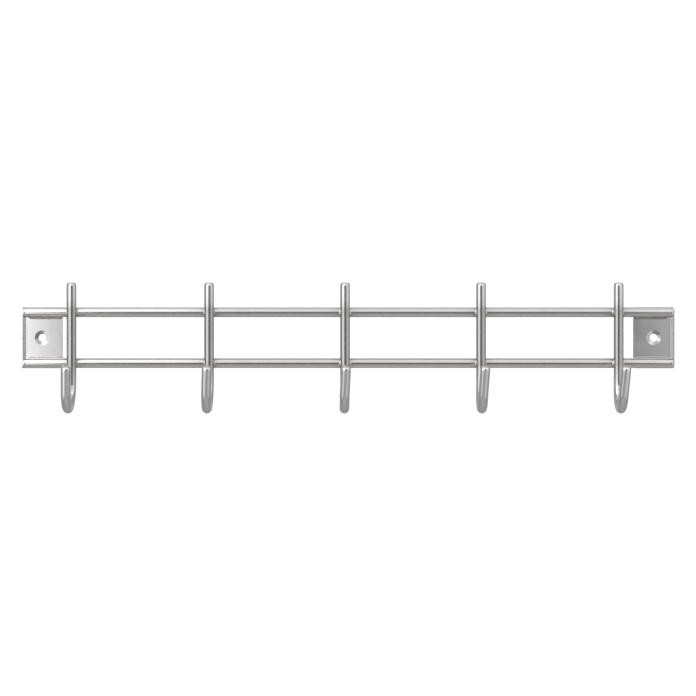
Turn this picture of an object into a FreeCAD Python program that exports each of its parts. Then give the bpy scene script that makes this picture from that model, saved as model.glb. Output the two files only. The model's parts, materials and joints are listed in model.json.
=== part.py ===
import FreeCAD, Part
import math
import os

# Wall hook rack: two wall brackets of bent sheet, two round rails laid on them, and five bent rod hooks.
# Everything is stainless steel, welded together.
#
# Frame: +X runs along the rack, +Z is up, and the front faces -Y. The wall is the plane Y = 0.
# The origin lies on the wall, midway between the two screw holes.

os.makedirs("parts", exist_ok=True)

# Driving dimensions, in millimetres and degrees
rack_length = 400.0
rod_diameter = 6.0
sheet = 1.0

bracket_height = 37.6
plate_width = 24.6
bend_inner_radius = 0.8
flange_corner_radius = 1.5
outline_corner_radius = 1.2

screw_spacing = 376.0
screw_hole_radius = 2.35
screw_seat_radius = 4.5
screw_seat_depth = 0.8

rail_spacing = 31.2
rail_end_chamfer = 1.1

inner_pitch = 83.15
outer_pitch = 84.15
hook_row_offset = -1.8
hook_top = 33.7
hook_bend_radius = 15.0
hook_bend_height = -28.0
hook_bend_skew = 1.4
hook_lean = 23.0
hook_arm_length = 18.2
hook_end_round = 1.8
weld_set_down = 0.5

crossing_weld_radius = 4.2
crossing_weld_half_height = 1.6
seam_weld_radius = 1.5
seam_weld_root = 1.0
seam_weld_end_gap = 1.2
end_weld_sweep = 240.0

tolerance = 0.001

# Dimensions that follow from them
rod_radius = rod_diameter / 2
half_length = rack_length / 2
half_height = bracket_height / 2
plate_inner_edge = half_length - plate_width
rail_end = half_length - sheet
rail_depth = sheet + rod_radius
flange_depth = sheet + rod_diameter
rail_heights = {"upper_rail": rail_spacing / 2, "lower_rail": -rail_spacing / 2}
hook_depth = rail_depth + rod_diameter - weld_set_down
sides = {"left": -1, "right": 1}

along_x = FreeCAD.Vector(1, 0, 0)
along_y = FreeCAD.Vector(0, 1, 0)
along_z = FreeCAD.Vector(0, 0, 1)


def point(x, y, z):
    return FreeCAD.Vector(x, y, z)


def face(edges):
    return Part.Face(Part.Wire(edges))


def line(start, end):
    return Part.LineSegment(start, end).toShape()


def arc_about(centre, start, end, bulge_towards):
    """The arc from start to end about centre, on the side of bulge_towards."""
    middle = (bulge_towards - centre).normalize() * start.distanceToPoint(centre) + centre
    return Part.Arc(start, middle, end).toShape()


def mirrored(shape, side):
    """A shape drawn for the right-hand end, for either end of the rack."""
    return shape if side > 0 else shape.mirror(point(0, 0, 0), along_x)


def is_centred_on(edge, places):
    return any(edge.CenterOfMass.isEqual(place, tolerance) for place in places)


def is_parallel(edge, axis):
    return 1 - abs(edge.tangentAt(edge.FirstParameter).dot(axis)) < tolerance


def hook_places():
    """The X of each hook's back rod, left to right. The two outer gaps are a little wider."""
    inner = [step * inner_pitch for step in (-1, 0, 1)]
    row = [inner[0] - outer_pitch, *inner, inner[-1] + outer_pitch]
    return [hook_row_offset + place for place in row]


def bent_sheet():
    """The L of plate and flange, as seen from above at the right-hand end, raised to full height."""
    outer_radius = sheet + bend_inner_radius
    bend = point(half_length - outer_radius, -outer_radius, -half_height)
    corner = point(half_length, 0, -half_height)
    back = point(bend.x, 0, bend.z)
    outside = point(half_length, bend.y, bend.z)
    inner_bend_start = point(bend.x, -sheet, bend.z)
    inner_bend_end = point(rail_end, bend.y, bend.z)
    outline = [
        line(point(plate_inner_edge, 0, bend.z), back),
        arc_about(bend, back, outside, corner),
        line(outside, point(half_length, -flange_depth, bend.z)),
        line(point(half_length, -flange_depth, bend.z), point(rail_end, -flange_depth, bend.z)),
        line(point(rail_end, -flange_depth, bend.z), inner_bend_end),
        arc_about(bend, inner_bend_end, inner_bend_start, corner),
        line(inner_bend_start, point(plate_inner_edge, -sheet, bend.z)),
        line(point(plate_inner_edge, -sheet, bend.z), point(plate_inner_edge, 0, bend.z)),
    ]
    return face(outline).extrude(along_z * bracket_height)


def rounded_block(length, depth, height, axis, radius):
    """A block centred on the origin whose four edges along axis are rounded."""
    block = Part.makeBox(length, depth, height, point(-length / 2, -depth / 2, -height / 2))
    edges = [edge for edge in block.Edges if is_parallel(edge, axis)]
    return block.makeFillet(radius, edges)


def screw_hole(x):
    """A round hole with a conical seat for a countersunk head, to be cut out of a plate."""
    hole = Part.makeCylinder(screw_hole_radius, 2 * sheet, point(x, sheet, 0), -along_y)
    slope = (screw_seat_radius - screw_hole_radius) / screw_seat_depth
    land = sheet - screw_seat_depth
    wide_end = screw_seat_radius + slope * land
    seat = Part.makeCone(screw_hole_radius, wide_end, sheet, point(x, -land, 0), -along_y)
    return hole.fuse(seat)


def bracket(side):
    """A plate against the wall, and a flange as deep as the rails, which closes their ends."""
    bracket_sheet = bent_sheet()
    past_flange = 4 * flange_depth
    outline = rounded_block(plate_width, past_flange, bracket_height, along_y, outline_corner_radius)
    outline.translate(point(half_length - plate_width / 2, 0, 0))
    profile = rounded_block(rack_length, 2 * flange_depth, bracket_height, along_x, flange_corner_radius)
    profile.translate(point(half_length, 0, 0))
    trimmed = bracket_sheet.common(outline).common(profile)
    return mirrored(trimmed.cut(screw_hole(screw_spacing / 2)), side)


def rail(height):
    """A straight rod between the two flanges, lying on both plates. Its ends are chamfered for welding."""
    rod = Part.makeCylinder(rod_radius, 2 * rail_end, point(-rail_end, -rail_depth, height), along_x)
    rims = [edge for edge in rod.Edges if edge.Closed]
    return rod.makeChamfer(rail_end_chamfer, rims)


def hook(x, rails):
    """A rod down the back, round the bend and up the leaning arm, with a saddle cut for each rail.

    The bend is a little out of square with the rack, so the arm also leans slightly towards +X.
    """
    top = point(x, -hook_depth, hook_top)
    bend_start = point(x, -hook_depth, hook_bend_height)
    bend_centre = bend_start - along_y * hook_bend_radius
    disc = Part.Face(Part.Wire(Part.makeCircle(rod_radius, bend_start, along_z)))
    back = disc.extrude(top - bend_start)
    skew = math.radians(hook_bend_skew)
    bend_axis = point(-math.cos(skew), 0, math.sin(skew))
    sweep = 180 - hook_lean
    bend = disc.revolve(bend_centre, bend_axis, sweep)
    turn = FreeCAD.Rotation(bend_axis, sweep)
    arm_foot = bend_centre + turn.multVec(bend_start - bend_centre)
    arm_direction = turn.multVec(-along_z)
    arm = Part.makeCylinder(rod_radius, hook_arm_length, arm_foot, arm_direction)
    rod = back.fuse([bend, arm])
    tip = arm_foot + arm_direction * hook_arm_length
    rims = [edge for edge in rod.Edges if edge.Closed and is_centred_on(edge, (top, tip))]
    return rod.makeFillet(hook_end_round, rims).cut(rails)


def crossing_weld(x, height, hook_rod, rail_rod):
    """The metal around the place where a hook crosses a rail: a lens with both rods taken out of it."""
    radius = (crossing_weld_radius**2 + crossing_weld_half_height**2) / (2 * crossing_weld_half_height)
    middle = point(x, -(rail_depth + hook_depth) / 2, height)
    offset = along_y * (radius - crossing_weld_half_height)
    lens = Part.makeSphere(radius, middle + offset).common(Part.makeSphere(radius, middle - offset))
    return lens.cut(hook_rod).cut(rail_rod)


def seam_weld(height, side):
    """A hollow fillet along the inner side of a rail, where it lies on the plate."""
    inwards = -math.copysign(1, height)
    start = plate_inner_edge
    axis = point(start, -rail_depth, height)
    reach = math.sqrt(4 * rod_radius * seam_weld_radius)
    fillet_centre = point(start, -sheet - seam_weld_radius, height + inwards * reach)
    plate_toe = fillet_centre + along_y * seam_weld_radius
    rail_toe = axis + (fillet_centre - axis).normalize() * rod_radius
    root_drop = math.sqrt(rod_radius**2 - seam_weld_root**2)
    root_on_rail = axis + point(0, root_drop, inwards * seam_weld_root)
    root_on_plate = point(start, -sheet, root_on_rail.z)
    between_toes = (plate_toe + rail_toe) / 2
    between_rod_points = (rail_toe + root_on_rail) / 2
    section = face(
        [
            line(root_on_plate, plate_toe),
            arc_about(fillet_centre, plate_toe, rail_toe, between_toes),
            arc_about(axis, rail_toe, root_on_rail, between_rod_points),
            line(root_on_rail, root_on_plate),
        ]
    )
    length = rail_end - bend_inner_radius - seam_weld_end_gap - start
    return mirrored(section.extrude(along_x * length), side)


def end_weld(height, side):
    """The metal that fills the chamfer at a rail's end, flush with the rail and open towards the plate."""
    axis = point(rail_end, -rail_depth, height)
    rim = axis - along_y * rod_radius
    chamfer_foot = rim - along_x * rail_end_chamfer
    chamfer_top = rim + along_y * rail_end_chamfer
    outline = [line(rim, chamfer_foot), line(chamfer_foot, chamfer_top), line(chamfer_top, rim)]
    section = face(outline)
    section.rotate(axis, along_x, -end_weld_sweep / 2)
    return mirrored(section.revolve(axis, along_x, end_weld_sweep), side)


def build():
    """Every piece of the rack, by name."""
    pieces = {f"{name}_bracket": bracket(side) for name, side in sides.items()}
    rails = {name: rail(height) for name, height in rail_heights.items()}
    pieces |= rails
    for number, x in enumerate(hook_places(), start=1):
        hook_rod = hook(x, list(rails.values()))
        pieces[f"hook_{number}"] = hook_rod
        for name, height in rail_heights.items():
            pieces[f"hook_{number}_{name}_weld"] = crossing_weld(x, height, hook_rod, rails[name])
    for name, height in rail_heights.items():
        for side_name, side in sides.items():
            pieces[f"{name}_{side_name}_seam_weld"] = seam_weld(height, side)
            pieces[f"{name}_{side_name}_end_weld"] = end_weld(height, side)
    return pieces


for node, shape in build().items():
    shape.exportStep(f"parts/{node}.step")
    print(f"{node}: {len(shape.Solids)} solid, {shape.Volume:.2f} mm3, valid {shape.isValid()}")
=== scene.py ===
import json
import math
from collections import namedtuple

import bmesh
import bpy
from mathutils import Matrix, Vector, noise


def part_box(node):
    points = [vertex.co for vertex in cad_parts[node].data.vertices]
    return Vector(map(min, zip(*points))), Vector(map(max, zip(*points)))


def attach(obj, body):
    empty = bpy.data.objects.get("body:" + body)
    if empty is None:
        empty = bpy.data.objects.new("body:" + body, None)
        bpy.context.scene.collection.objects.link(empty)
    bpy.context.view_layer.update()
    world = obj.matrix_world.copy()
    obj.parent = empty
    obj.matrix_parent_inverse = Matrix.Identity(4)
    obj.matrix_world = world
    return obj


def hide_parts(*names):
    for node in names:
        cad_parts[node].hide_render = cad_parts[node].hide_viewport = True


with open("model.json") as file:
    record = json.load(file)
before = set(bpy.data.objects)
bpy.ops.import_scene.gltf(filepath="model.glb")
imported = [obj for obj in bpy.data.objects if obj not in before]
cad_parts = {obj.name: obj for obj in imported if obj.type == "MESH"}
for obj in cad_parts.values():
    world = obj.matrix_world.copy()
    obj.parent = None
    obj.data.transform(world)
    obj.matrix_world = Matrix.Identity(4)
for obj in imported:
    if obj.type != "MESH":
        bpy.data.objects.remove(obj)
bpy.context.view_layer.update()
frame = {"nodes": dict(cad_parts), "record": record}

# A wall hook rack of satin stainless steel. Everything is in metres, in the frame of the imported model:
# +X along the rack, +Z up, the front faces -Y and the wall is the plane Y = 0.

MM = 0.001
MOUNTS = {mount["name"]: mount for mount in frame["record"]["mounts"]}

ROD_RADIUS = 3.0 * MM
SHEET = 1.0 * MM
SCREW_SPACING = MOUNTS["wall_screws"]["dims"]["spacing_x_mm"] * MM
SCREW_SEAT_REACH = 4.55 * MM  # the seat's radius of 4.5 mm and a little of its softened edge

HOOK_NAMES = [f"hook_{number}" for number in range(1, 6)]
RAIL_NAMES = ["upper_rail", "lower_rail"]
SIDES = {"left": -1, "right": 1}

HOOK_LEAN = math.radians(23.0)
HOOK_SKEW = math.radians(1.4)
HOOK_ARM = 18.2 * MM
HOOK_END_ROUND = 1.8 * MM
RAIL_END_CHAMFER = 1.1 * MM

# How finely the rods are drawn, and the angle from which an edge is shaded as a sharp one
ROD_SIDES = 56
HOOK_RING_STEP = 1.0 * MM
RAIL_RING_STEP = 2.0 * MM
SHARP_EDGE = math.radians(32.0)

# Where the rods are darker: weld heat tint close to each weld, and painted shade down the back of each hook
# between the rails
WELD_HEAT_REACH = 2.2 * MM
BACK_PAINTED_SHADE = 0.85
BACK_PAINTED_SHADE_START = (11.0 * MM, 19.0 * MM)
BACK_PAINTED_SHADE_END = (48.0 * MM, 64.0 * MM)

# The surface of the steel: how many clouds and slow waves it has in a metre, and the tone of its grain
CLOUDS_PER_METRE = 90.0
WAVES_PER_METRE = 30.0
DARK_GRAIN, LIGHT_GRAIN = 0.95, 1.04
GRAIN_ROUGHNESS = 0.01

BACKDROP_WHITE = 1.05

ALONG_X = Vector((1, 0, 0))
ALONG_Y = Vector((0, 1, 0))
ALONG_Z = Vector((0, 0, 1))

# A place on a rod: its middle, the way the rod runs there, its radius and how far along the rod it is
Station = namedtuple("Station", "centre direction radius distance")


# ---------------------------------------------------------------- places read from the frame

def rail_axis(name):
    """The rail's axis as its Y and Z."""
    low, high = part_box(name)
    centre = (low + high) / 2
    return centre.y, centre.z


def hook_seat(name):
    """The lowest point inside the hook's bend, as the record gives it."""
    return Vector(MOUNTS[f"{name}_seat"]["pos_m"])


def hook_back(name):
    """The axis of the hook's back rod as its X and Y. The skewed bend leaves the seat to one side of it."""
    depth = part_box(name)[1].y - ROD_RADIUS
    seat = hook_seat(name)
    inner_radius = depth - seat.y - ROD_RADIUS
    return seat.x + inner_radius * math.sin(HOOK_SKEW), depth


def crossing(hook_name, rail_name):
    """The middle of the weld between a hook and a rail."""
    x, hook_depth = hook_back(hook_name)
    rail_depth, height = rail_axis(rail_name)
    return Vector((x, (rail_depth + hook_depth) / 2, height))


# ---------------------------------------------------------------- meshes

def new_piece(name, points, faces):
    """A mesh object whose faces all look outwards, smooth apart from its sharp edges."""
    mesh = bpy.data.meshes.new(name)
    mesh.from_pydata([tuple(place) for place in points], [], faces)
    work = bmesh.new()
    work.from_mesh(mesh)
    bmesh.ops.recalc_face_normals(work, faces=work.faces)
    work.to_mesh(mesh)
    work.free()
    mesh.shade_smooth()
    mesh.set_sharp_from_angle(angle=SHARP_EDGE)
    piece = bpy.data.objects.new(name, mesh)
    bpy.context.scene.collection.objects.link(piece)
    return piece


def skin(ring_count, side_count):
    """Quads between rings that each close on themselves, and a face over each end."""
    quads = []
    for ring in range(ring_count - 1):
        for side in range(side_count):
            after = (side + 1) % side_count
            low, high = ring * side_count, (ring + 1) * side_count
            quads.append((low + side, low + after, high + after, high + side))
    first = tuple(reversed(range(side_count)))
    last = tuple((ring_count - 1) * side_count + side for side in range(side_count))
    return [first, *quads, last]


def looped_skin(ring_count, side_count):
    """Quads between rings that follow each other round a whole loop."""
    quads = []
    for ring in range(ring_count):
        here, there = ring * side_count, (ring + 1) % ring_count * side_count
        for side in range(side_count):
            after = (side + 1) % side_count
            quads.append((here + side, there + side, there + after, here + after))
    return quads


def store(piece, name, kind, field, values):
    """Keeps a value for every point of a piece, for its material to read."""
    attribute = piece.data.attributes.new(name, kind, "POINT")
    attribute.data.foreach_set(field, values)


def weld_heat(place, welds):
    """How much the nearest weld has heated a place on a rod's axis, from 0 to 1."""
    nearest = min((place - weld).length for weld in welds) - ROD_RADIUS
    return math.exp(-max(nearest, 0) / WELD_HEAT_REACH)


def rod(name, side_axis, stations, darkening_per_station):
    """A round rod through these stations, with a darkening for each, from weld heat tint and painted shade.

    It stores each point's place on the rod as if the rod were straight, and how much weld heat tint and
    painted shade darken it.
    """
    points, straight, darkening_values = [], [], []
    for station, darkening in zip(stations, darkening_per_station):
        up = station.direction.cross(side_axis).normalized()
        across = up.cross(station.direction)
        for side in range(ROD_SIDES):
            angle = 2 * math.pi * side / ROD_SIDES
            cos, sin = station.radius * math.cos(angle), station.radius * math.sin(angle)
            points.append(station.centre + across * cos + up * sin)
            straight += [cos, sin, station.distance]
            darkening_values.append(darkening)
    piece = new_piece(name, points, skin(len(stations), ROD_SIDES))
    store(piece, "straight", "FLOAT_VECTOR", "vector", straight)
    store(piece, "weld_tint_and_painted_shade", "FLOAT", "value", darkening_values)
    return piece


def rounded_end(centre, outwards, distance, sign):
    """Stations over a rod's rounded end, from full thickness to the small flat on its tip.

    sign is 1 at the end that the rod runs towards, and -1 at the end that it starts from.
    """
    steps = 8
    stations = []
    for step in range(1, steps + 1):
        turn = math.pi / 2 * step / steps
        rise = HOOK_END_ROUND * math.sin(turn)
        radius = ROD_RADIUS - HOOK_END_ROUND * (1 - math.cos(turn))
        place = centre + outwards * rise
        stations.append(Station(place, outwards * sign, radius, distance + sign * rise))
    return stations


def straight_run(start, end, distance, step):
    """Stations from start to end, both included."""
    direction = (end - start).normalized()
    length = (end - start).length
    count = max(1, round(length / step))
    runs = [length * index / count for index in range(count + 1)]
    return [Station(start + direction * run, direction, ROD_RADIUS, distance + run) for run in runs]


def back_painted_shade(distance):
    """How much painted shade darkens the back of a hook, by the distance from its top. It is most between
    the rails.
    """
    start = (distance - BACK_PAINTED_SHADE_START[0]) / (BACK_PAINTED_SHADE_START[1] - BACK_PAINTED_SHADE_START[0])
    end = (BACK_PAINTED_SHADE_END[1] - distance) / (BACK_PAINTED_SHADE_END[1] - BACK_PAINTED_SHADE_END[0])
    share = max(0.0, min(1.0, start, end))
    return BACK_PAINTED_SHADE * share * share * (3 - 2 * share)


def hook(name):
    """A hook from its top, down the back, round the skewed bend and up the leaning arm to its tip."""
    x, depth = hook_back(name)
    seat = hook_seat(name)
    bend_radius = depth - seat.y
    bend_start = Vector((x, depth, seat.z + (bend_radius - ROD_RADIUS) * math.cos(HOOK_SKEW)))
    bend_centre = bend_start - ALONG_Y * bend_radius
    bend_axis = Vector((-math.cos(HOOK_SKEW), 0, math.sin(HOOK_SKEW)))

    def around_bend(turn):
        """The rod's centre and direction after this much of the bend."""
        rotation = Matrix.Rotation(turn, 3, bend_axis)
        return bend_centre + rotation @ (bend_start - bend_centre), rotation @ -ALONG_Z

    top = Vector((x, depth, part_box(name)[1].z - HOOK_END_ROUND))
    stations = straight_run(top, bend_start, HOOK_END_ROUND, HOOK_RING_STEP)
    distance = stations[-1].distance
    sweep = math.pi - HOOK_LEAN
    bend_steps = round(bend_radius * sweep / HOOK_RING_STEP)
    for step in range(1, bend_steps):
        turn = sweep * step / bend_steps
        stations.append(Station(*around_bend(turn), ROD_RADIUS, distance + bend_radius * turn))
    foot, arm_direction = around_bend(sweep)
    arm_end = foot + arm_direction * (HOOK_ARM - HOOK_END_ROUND)
    stations += straight_run(foot, arm_end, distance + bend_radius * sweep, HOOK_RING_STEP)
    tip = rounded_end(arm_end, arm_direction, stations[-1].distance, 1)
    start = rounded_end(top, ALONG_Z, HOOK_END_ROUND, -1)
    stations = [*reversed(start), *stations, *tip]
    welds = [crossing(name, rail_name) for rail_name in RAIL_NAMES]
    # Weld heat tint near each weld, and painted shade down the hook's back between the rails
    darkening_per_station = [max(weld_heat(station.centre, welds), back_painted_shade(station.distance)) for station in stations]
    piece = rod(name + "_rod", ALONG_X, stations, darkening_per_station)
    press_saddles(piece)
    return piece


def press_saddles(piece):
    """Pushes the back of a hook forward where it sits on the rails, so that they touch along a saddle."""
    for name in RAIL_NAMES:
        depth, height = rail_axis(name)
        for vertex in piece.data.vertices:
            rise = vertex.co.z - height
            if abs(rise) < ROD_RADIUS and vertex.co.y < depth:
                vertex.co.y = min(vertex.co.y, depth - math.sqrt(ROD_RADIUS**2 - rise**2))


def rail(name):
    """A straight rail with a chamfer at each end."""
    low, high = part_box(name)
    depth, height = rail_axis(name)
    left, right = Vector((low.x, depth, height)), Vector((high.x, depth, height))
    inwards = ALONG_X * RAIL_END_CHAMFER
    stations = straight_run(left + inwards, right - inwards, RAIL_END_CHAMFER, RAIL_RING_STEP)
    narrow = ROD_RADIUS - RAIL_END_CHAMFER
    start = Station(left, ALONG_X, narrow, 0.0)
    end = Station(right, ALONG_X, narrow, high.x - low.x)
    stations = [start, *stations, end]
    welds = [crossing(hook_name, name) for hook_name in HOOK_NAMES]
    darkening_per_station = [weld_heat(station.centre, welds) for station in stations]
    return rod(name + "_rod", ALONG_Y, stations, darkening_per_station)


# ---------------------------------------------------------------- welds

def arch(share):
    """Rises from 0 to 1 in the middle of a span and falls back to 0 at its end."""
    return 4 * share * (1 - share)


def crossing_weld(name, hook_name, rail_name):
    """The bead around a crossing. Its edges run on the hook and on the rail, and its back is inside both.

    It reaches along both rods and grips their sides. Its face is hollow and its outline a little lumpy.
    """
    reach = 3.7 * MM
    grip = math.radians(62.0)
    hollow = 0.35 * MM
    buried = 0.5 * MM
    unevenness = 0.14
    lumps = 1.3
    around, across = 72, 8
    x, hook_depth = hook_back(hook_name)
    rail_depth, height = rail_axis(rail_name)
    contact = crossing(hook_name, rail_name)
    own_noise = Vector((x * 40, height * 90, 3.1))  # each bead has its own place in the noise

    def edge_points(turn):
        """Where the bead ends on the hook and on the rail, and those places pushed into the two rods."""
        cos, sin = math.cos(turn), math.sin(turn)
        uneven = 1 + unevenness * noise.noise(own_noise + Vector((cos, sin, 0)) * lumps)
        on_hook, on_rail = grip * cos * uneven, grip * sin * uneven
        far = reach * uneven
        hook_axis = Vector((x, hook_depth, height + far * sin))
        rail_line = Vector((x + far * cos, rail_depth, height))
        hook_out = Vector((math.sin(on_hook), math.cos(on_hook), 0))
        rail_out = Vector((0, -math.cos(on_rail), math.sin(on_rail)))
        inside = ROD_RADIUS - buried
        return (
            hook_axis + hook_out * ROD_RADIUS,
            rail_line + rail_out * ROD_RADIUS,
            hook_axis + hook_out * inside,
            rail_line + rail_out * inside,
        )

    points = []
    for step in range(around):
        turn = 2 * math.pi * step / around
        hook_edge, rail_edge, hook_inside, rail_inside = edge_points(turn)
        for index in range(across + 1):
            share = index / across
            place = hook_edge.lerp(rail_edge, share)
            outwards = (place - contact).normalized()
            points.append(place - outwards * hollow * arch(share))
        points += [rail_inside, hook_inside]
    return new_piece(name + "_bead", points, looped_skin(around, across + 3))


def seam_weld(name, rail_name):
    """A hollow fillet between a rail and its plate, with soft ends and a slight ripple."""
    low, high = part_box(name)
    rail_depth, height = rail_axis(rail_name)
    inwards = -math.copysign(1, height)
    fillet = 1.5 * MM
    smallest = 0.12 * MM
    end_taper = 2.0 * MM
    root = 1.0 * MM
    buried_in_plate, buried_in_rail = 0.1 * MM, 0.3 * MM
    ripple_depth = 0.07
    ripples_per_metre = 450
    own_noise = height * 300
    arc_steps, length_steps = 8, 60
    points = []
    for step in range(length_steps + 1):
        x = low.x + (high.x - low.x) * step / length_steps
        from_end = min(x - low.x, high.x - x, end_taper) / end_taper
        fullness = math.sqrt(from_end * (2 - from_end))
        ripple = 1 + ripple_depth * noise.noise(Vector((x * ripples_per_metre, own_noise, 0)))
        small = max(fillet * fullness * ripple, smallest)
        toe = height + inwards * math.sqrt(4 * ROD_RADIUS * small)
        centre = Vector((x, -SHEET - small, toe))
        axis = Vector((x, rail_depth, height))
        to_axis = (axis - centre).normalized()
        sweep = math.atan2(-to_axis.z * inwards, to_axis.y)
        for index in range(arc_steps + 1):
            angle = sweep * index / arc_steps
            points.append(centre + Vector((0, math.cos(angle), -inwards * math.sin(angle))) * small)
        points.append(axis - to_axis * (ROD_RADIUS - buried_in_rail))
        points.append(Vector((x, buried_in_plate - SHEET, height + inwards * root)))
        points.append(Vector((x, buried_in_plate - SHEET, toe)))
    return new_piece(name + "_bead", points, skin(length_steps + 1, arc_steps + 4))


def end_weld(name, rail_name, side):
    """The weld metal in a rail's chamfer, open towards the plate and slightly proud of the rail."""
    low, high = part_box(rail_name)
    rail_depth, height = rail_axis(rail_name)
    axis = Vector((high.x if side > 0 else low.x, rail_depth, height))
    sweep = math.radians(240.0)
    proud = 0.05 * MM
    sunk = 0.05 * MM
    unevenness = 0.5
    lumps = 1.4
    own_noise = Vector((0, height * 200, side * 2))
    around, across = 48, 6
    points = []
    for step in range(around + 1):
        turn = -sweep / 2 + sweep * step / around
        outwards = Vector((0, -math.cos(turn), math.sin(turn)))
        uneven = 1 + unevenness * noise.noise(own_noise + ALONG_X * turn * lumps)
        for index in range(across + 1):
            share = index / across
            bulge = proud * uneven * arch(share)
            back = ALONG_X * -side * RAIL_END_CHAMFER * (1 - share)
            points.append(axis + back + outwards * (ROD_RADIUS + bulge))
        points.append(axis + ALONG_X * side * sunk + outwards * (ROD_RADIUS - RAIL_END_CHAMFER - sunk))
    return new_piece(name + "_bead", points, skin(around + 1, across + 2))


# ---------------------------------------------------------------- brackets

def bracket(name):
    """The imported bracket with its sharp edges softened, as a deburred sheet has them."""
    edge_width = 0.15 * MM
    same_place = 0.001 * MM
    flat_angle, smooth_angle = math.radians(0.5), math.radians(16.0)
    mesh = bpy.data.meshes.new(name + "_sheet")
    work = bmesh.new()
    work.from_mesh(frame["nodes"][name].data)
    bmesh.ops.remove_doubles(work, verts=work.verts, dist=same_place)
    bmesh.ops.dissolve_limit(work, angle_limit=flat_angle, verts=work.verts, edges=work.edges)
    work.to_mesh(mesh)
    work.free()
    mesh.shade_smooth()
    piece = bpy.data.objects.new(name + "_sheet", mesh)
    bpy.context.scene.collection.objects.link(piece)
    bevel = piece.modifiers.new("soft edges", "BEVEL")
    bevel.width = edge_width
    bevel.segments = 3
    bevel.limit_method = "ANGLE"
    bevel.angle_limit = smooth_angle
    even = piece.modifiers.new("flat faces", "WEIGHTED_NORMAL")
    even.weight = 100
    bpy.ops.object.select_all(action="DESELECT")
    bpy.context.view_layer.objects.active = piece
    piece.select_set(True)
    for modifier in (bevel, even):
        bpy.ops.object.modifier_apply(modifier=modifier.name)
    piece.select_set(False)
    mark_seat(piece, name)
    return piece


def mark_seat(piece, name):
    """Keeps which points of a bracket lie in its screw seat, for the material to darken them with painted
    shade.
    """
    hole = math.copysign(SCREW_SPACING / 2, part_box(name)[0].x)
    radii = [math.hypot(vertex.co.x - hole, vertex.co.z) for vertex in piece.data.vertices]
    store(piece, "seat_painted_shade", "FLOAT", "value", [float(radius < SCREW_SEAT_REACH) for radius in radii])


# ---------------------------------------------------------------- materials

class Nodes:
    """The node tree of a material or of the world, with the few kinds of node that are used here."""

    def __init__(self, owner):
        owner.use_nodes = True
        self.nodes = owner.node_tree.nodes
        self.links = owner.node_tree.links

    def put(self, value, socket):
        """Gives a socket a value of its own, or links an output to it."""
        if isinstance(value, bpy.types.NodeSocket):
            self.links.new(value, socket)
        else:
            socket.default_value = value

    def attribute(self, name, output):
        node = self.nodes.new("ShaderNodeAttribute")
        node.attribute_name = name
        return node.outputs[output]

    def object_place(self):
        return self.nodes.new("ShaderNodeTexCoord").outputs["Object"]

    def place_on_rod(self):
        return self.attribute("straight", "Vector")

    def camera_ray(self):
        return self.nodes.new("ShaderNodeLightPath").outputs["Is Camera Ray"]

    def noise(self, place, scale, stretch=(1, 1, 1), *, detail):
        mapping = self.nodes.new("ShaderNodeMapping")
        mapping.inputs["Scale"].default_value = stretch
        self.links.new(place, mapping.inputs["Vector"])
        texture = self.nodes.new("ShaderNodeTexNoise")
        texture.inputs["Scale"].default_value = scale
        texture.inputs["Detail"].default_value = detail
        self.links.new(mapping.outputs["Vector"], texture.inputs["Vector"])
        return texture.outputs["Fac"]

    def map_range(self, value, numbers, kind):
        """Brings a value from between the first two numbers to between the last two."""
        node = self.nodes.new("ShaderNodeMapRange")
        node.interpolation_type = kind
        for socket, number in zip(("From Min", "From Max", "To Min", "To Max"), numbers):
            node.inputs[socket].default_value = number
        self.links.new(value, node.inputs["Value"])
        return node.outputs["Result"]

    def ranged(self, value, low, high):
        """A noise value, which is mostly between 0.3 and 0.7, brought between low and high."""
        return self.map_range(value, (0.3, 0.7, low, high), "LINEAR")

    def ramp(self, value, start, end, low, high):
        """Low up to start, high from end on, and a smooth change between them."""
        return self.map_range(value, (start, end, low, high), "SMOOTHSTEP")

    def maths(self, operation, first, second):
        node = self.nodes.new("ShaderNodeMath")
        node.operation = operation
        self.put(first, node.inputs[0])
        self.put(second, node.inputs[1])
        return node.outputs["Value"]

    def mix(self, share, first, second):
        node = self.nodes.new("ShaderNodeMix")
        node.data_type = "RGBA"
        self.put(share, node.inputs["Factor"])
        self.put(first, node.inputs["A"])
        self.put(second, node.inputs["B"])
        return node.outputs["Result"]

    def mix_shaders(self, share, first, second):
        node = self.nodes.new("ShaderNodeMixShader")
        for value, socket in zip((share, first, second), node.inputs):
            self.links.new(value, socket)
        return node.outputs["Shader"]

    def bump(self, height, depth, under=None):
        node = self.nodes.new("ShaderNodeBump")
        node.inputs["Distance"].default_value = depth
        self.links.new(height, node.inputs["Height"])
        if under:
            self.links.new(under, node.inputs["Normal"])
        return node.outputs["Normal"]


def shade(colour, factor):
    """A colour made lighter or darker."""
    return (*[min(1.0, channel * factor) for channel in colour], 1.0)


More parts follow.
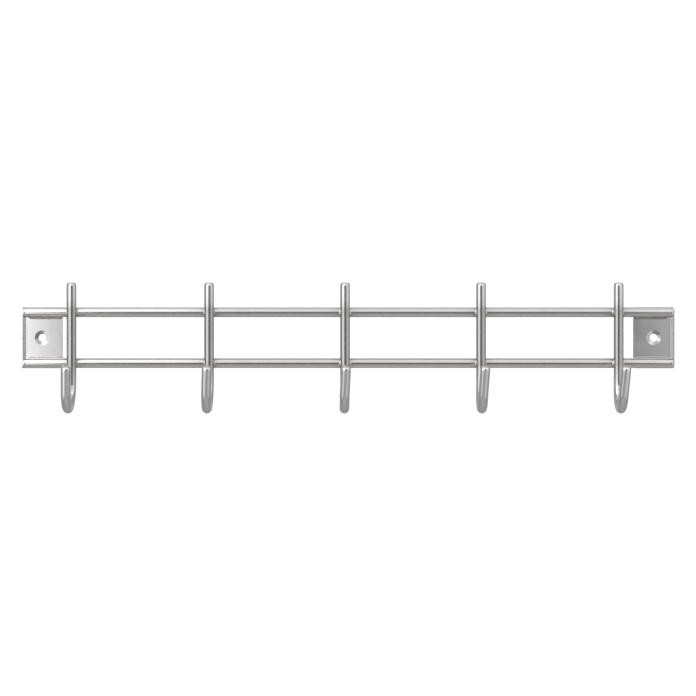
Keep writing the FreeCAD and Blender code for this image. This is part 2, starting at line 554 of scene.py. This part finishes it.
def steel(name, colour, place_of, grain, roughness, relief, darkened_by=None):
    """Satin stainless steel: grain along one direction, cloudy patches, and slow waves in the surface.

    grain is the noise's scale and stretch, roughness its two ends, relief the depths of grain and waves.
    darkened_by names a stored value, the darker colour that it brings, which is painted shade where that
    value holds painted shade, and the roughness that it adds.
    """
    material = bpy.data.materials.new(name)
    tree = Nodes(material)
    place = place_of(tree)
    streaks = tree.noise(place, *grain, detail=3.0)
    clouds = tree.noise(place, CLOUDS_PER_METRE, detail=3.0)
    waves = tree.noise(place, WAVES_PER_METRE, detail=0.0)

    tone = tree.maths("MULTIPLY", tree.maths("ADD", streaks, clouds), 0.5)
    surface = tree.mix(tree.ranged(tone, 0.0, 1.0), shade(colour, DARK_GRAIN), shade(colour, LIGHT_GRAIN))
    fine_rough = tree.ranged(streaks, -GRAIN_ROUGHNESS, GRAIN_ROUGHNESS)
    rough = tree.maths("ADD", tree.ranged(clouds, *roughness), fine_rough)
    if darkened_by:
        value_name, darker, rougher = darkened_by
        value = tree.attribute(value_name, "Fac")
        surface = tree.mix(value, surface, shade(colour, darker))
        rough = tree.maths("ADD", rough, tree.maths("MULTIPLY", value, rougher))
    grain_depth, wave_depth = relief
    fine = tree.bump(streaks, grain_depth)
    shader = tree.nodes["Principled BSDF"]
    tree.put(surface, shader.inputs["Base Color"])
    tree.put(rough, shader.inputs["Roughness"])
    tree.put(1.0, shader.inputs["Metallic"])
    tree.put(tree.bump(waves, wave_depth, fine), shader.inputs["Normal"])
    return material


def rod_steel():
    """Drawn rod, with its grain along it, darker with weld heat tint near the welds and with painted shade
    down the backs of the hooks.
    """
    return steel(
        "rod_steel",
        colour=(0.60, 0.59, 0.585),
        place_of=Nodes.place_on_rod,
        grain=(3500.0, (1, 1, 0.02)),
        roughness=(0.12, 0.16),
        relief=(0.0002 * MM, 0.010 * MM),
        # Darker by the stored value: weld heat tint near the welds, and painted shade down the hooks' backs
        darkened_by=("weld_tint_and_painted_shade", 0.62, 0.03),
    )


def sheet_steel():
    """Rolled sheet, with upright grain, and painted shade darkening its screw seat."""
    return steel(
        "sheet_steel",
        colour=(0.70, 0.69, 0.69),
        place_of=Nodes.object_place,
        grain=(2500.0, (1, 1, 0.02)),
        roughness=(0.12, 0.19),
        relief=(0.0002 * MM, 0.09 * MM),
        # Painted shade in the recess of the screw seat
        darkened_by=("seat_painted_shade", 0.62, 0.03),
    )


def weld_steel(name, colour, roughness):
    """Weld metal, with fine pits and no grain."""
    return steel(
        name,
        colour=colour,
        place_of=Nodes.object_place,
        grain=(1200.0, (1, 1, 1)),
        roughness=roughness,
        relief=(0.004 * MM, 0.010 * MM),
    )


# ---------------------------------------------------------------- stage

def studio():
    """The room's light: white where the camera looks past the rack, otherwise grey, darkest in front."""
    in_front, behind = -0.30, 0.0
    raised, overhead = 0.3, 1.0
    front_level, back_level, ceiling_level = 0.22, 0.50, 0.88
    room = bpy.data.worlds.new("studio")
    bpy.context.scene.world = room
    tree = Nodes(room)
    tree.nodes.clear()

    def background(strength):
        node = tree.nodes.new("ShaderNodeBackground")
        tree.put((1, 1, 1, 1), node.inputs["Color"])
        tree.put(strength, node.inputs["Strength"])
        return node.outputs["Background"]

    direction = tree.nodes.new("ShaderNodeTexCoord").outputs["Generated"]
    parts = tree.nodes.new("ShaderNodeSeparateXYZ")
    tree.put(direction, parts.inputs["Vector"])
    side = tree.ramp(parts.outputs["Y"], in_front, behind, front_level, back_level)
    top = tree.ramp(parts.outputs["Z"], raised, overhead, 0.0, ceiling_level)
    lit = background(tree.maths("MAXIMUM", side, top))
    seen = background(BACKDROP_WHITE)
    out = tree.nodes.new("ShaderNodeOutputWorld")
    tree.put(tree.mix_shaders(tree.camera_ray(), lit, seen), out.inputs["Surface"])


def softbox(name, place, facing, width, height, radiance):
    """A softbox that adds this radiance to the room behind it. The camera doesn't see it."""
    data = bpy.data.lights.new(name, "AREA")
    data.shape = "RECTANGLE"
    data.size = width
    data.size_y = height
    data.energy = radiance * math.pi * width * height
    lamp = bpy.data.objects.new(name, data)
    bpy.context.scene.collection.objects.link(lamp)
    lamp.visible_camera = False
    lamp.location = place
    lamp.rotation_euler = facing.to_track_quat("-Z", "Y").to_euler()


def upright_box(name, front_edge, side_edge, low, high, radiance):
    """An upright softbox between two edges, given as X and Y, that faces the rack."""
    front, side = Vector((*front_edge, 0)), Vector((*side_edge, 0))
    middle = (front + side) / 2
    facing = (side - front).cross(ALONG_Z).normalized()
    if facing.dot(middle) > 0:
        facing.negate()
    place = middle + ALONG_Z * (low + high) / 2
    softbox(name, place, facing, (side - front).length, high - low, radiance)


def raised_box(name, left, right, distance, lowest, highest, radiance):
    """A softbox in front of the rack, tilted to face it, between two angles in degrees above the level."""
    middle = math.radians((lowest + highest) / 2)
    height = 2 * distance * math.tan(math.radians((highest - lowest) / 2))
    towards = Vector((0, -math.cos(middle), math.sin(middle)))
    place = towards * distance + ALONG_X * (left + right) / 2
    softbox(name, place, -towards, right - left, height, radiance)


def lights():
    """The softboxes whose reflections streak the rods.

    On each side a second one stands behind the first and reaches further down, so that they fade out there.
    """
    upright_box("left_box", (-0.287, -0.85), (-0.62, -0.17), -0.38, 0.9, 0.90)
    upright_box("left_back_box", (-0.290, -0.86), (-0.627, -0.172), -0.63, 0.9, 0.52)
    upright_box("right_box", (0.34, -0.50), (0.80, -0.08), -0.38, 0.9, 0.50)
    upright_box("right_back_box", (0.344, -0.506), (0.81, -0.081), -0.63, 0.9, 0.34)
    upright_box("right_fill", (0.31, -1.00), (0.42, -0.97), -0.3, 0.6, 0.42)
    raised_box("top_box", -0.9, 0.9, 1.0, 9, 64, 0.72)
    raised_box("left_top_box", -0.9, -0.15, 0.95, 9, 84, 0.50)
    raised_box("low_box", -0.9, 0.9, 0.8, -75, -20, 0.04)


def floor():
    """A wide floor under the rack."""
    size, height = 9.0, -0.9
    corners = [(-size, -size, height), (size, -size, height), (size, size, height), (-size, size, height)]
    mesh = bpy.data.meshes.new("floor")
    mesh.from_pydata(corners, [], [(0, 1, 2, 3)])
    mesh.materials.append(floor_surface())
    piece = bpy.data.objects.new("floor", mesh)
    bpy.context.scene.collection.objects.link(piece)


def floor_surface():
    """Grey near the rack, and white further out, like a studio sweep.

    The camera sees it paler than it is in the rack's reflections.
    """
    grey = 0.6
    paleness = 0.5
    turns_white, all_white = 1.5, 3.0
    material = bpy.data.materials.new("floor")
    tree = Nodes(material)
    shader = tree.nodes["Principled BSDF"]
    tree.put((grey, grey, grey, 1), shader.inputs["Base Color"])
    tree.put(0.9, shader.inputs["Roughness"])
    tree.put(0.1, shader.inputs["Specular IOR Level"])
    distance = tree.nodes.new("ShaderNodeVectorMath")
    distance.operation = "LENGTH"
    tree.put(tree.object_place(), distance.inputs[0])
    far = tree.ramp(distance.outputs["Value"], turns_white, all_white, 0.0, 1.0)
    white = tree.nodes.new("ShaderNodeEmission")
    tree.put(BACKDROP_WHITE, white.inputs["Strength"])
    clear = tree.nodes.new("ShaderNodeBsdfTransparent")
    seen = tree.camera_ray()
    sweep = tree.mix_shaders(seen, clear.outputs["BSDF"], white.outputs["Emission"])
    paler = tree.maths("MAXIMUM", far, tree.maths("MULTIPLY", seen, paleness))
    blend = tree.mix_shaders(paler, shader.outputs["BSDF"], sweep)
    tree.put(blend, tree.nodes["Material Output"].inputs["Surface"])
    return material


def camera():
    """Level and square to the rack, in front of its middle."""
    distance, height = 1.48, -6.3 * MM
    data = bpy.data.cameras.new("camera")
    data.sensor_width = 36.0
    data.lens = 124.4
    data.clip_end = 50.0
    piece = bpy.data.objects.new("camera", data)
    bpy.context.scene.collection.objects.link(piece)
    piece.location = (0, -distance, height)
    piece.rotation_euler = (math.radians(90.0), 0, 0)
    bpy.context.scene.camera = piece


# ---------------------------------------------------------------- building

def finish_piece(piece, node, surface):
    """Gives a piece its material, and puts it in the place of its CAD node."""
    piece.data.materials.append(surface)
    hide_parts(node)
    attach(piece, "root")


rod_surface, sheet_surface = rod_steel(), sheet_steel()
weld_surface = weld_steel("weld_steel", (0.44, 0.43, 0.42), (0.22, 0.34))
# Weld metal painted darker than the other welds, as painted shade where each rail meets its plate
seam_weld_and_painted_shade_surface = weld_steel("seam_weld_painted_shade", (0.36, 0.355, 0.35), (0.22, 0.34))
ground_surface = weld_steel("ground_weld_steel", (0.56, 0.55, 0.545), (0.15, 0.20))
for rail_name in RAIL_NAMES:
    finish_piece(rail(rail_name), rail_name, rod_surface)
for hook_name in HOOK_NAMES:
    finish_piece(hook(hook_name), hook_name, rod_surface)
    for rail_name in RAIL_NAMES:
        node = f"{hook_name}_{rail_name}_weld"
        finish_piece(crossing_weld(node, hook_name, rail_name), node, weld_surface)
for side_name, side in SIDES.items():
    node = f"{side_name}_bracket"
    finish_piece(bracket(node), node, sheet_surface)
    for rail_name in RAIL_NAMES:
        node = f"{rail_name}_{side_name}_seam_weld"
        finish_piece(seam_weld(node, rail_name), node, seam_weld_and_painted_shade_surface)
        node = f"{rail_name}_{side_name}_end_weld"
        finish_piece(end_weld(node, rail_name, side), node, ground_surface)

studio()
lights()
floor()
camera()
bpy.context.scene.view_settings.view_transform = "Standard"
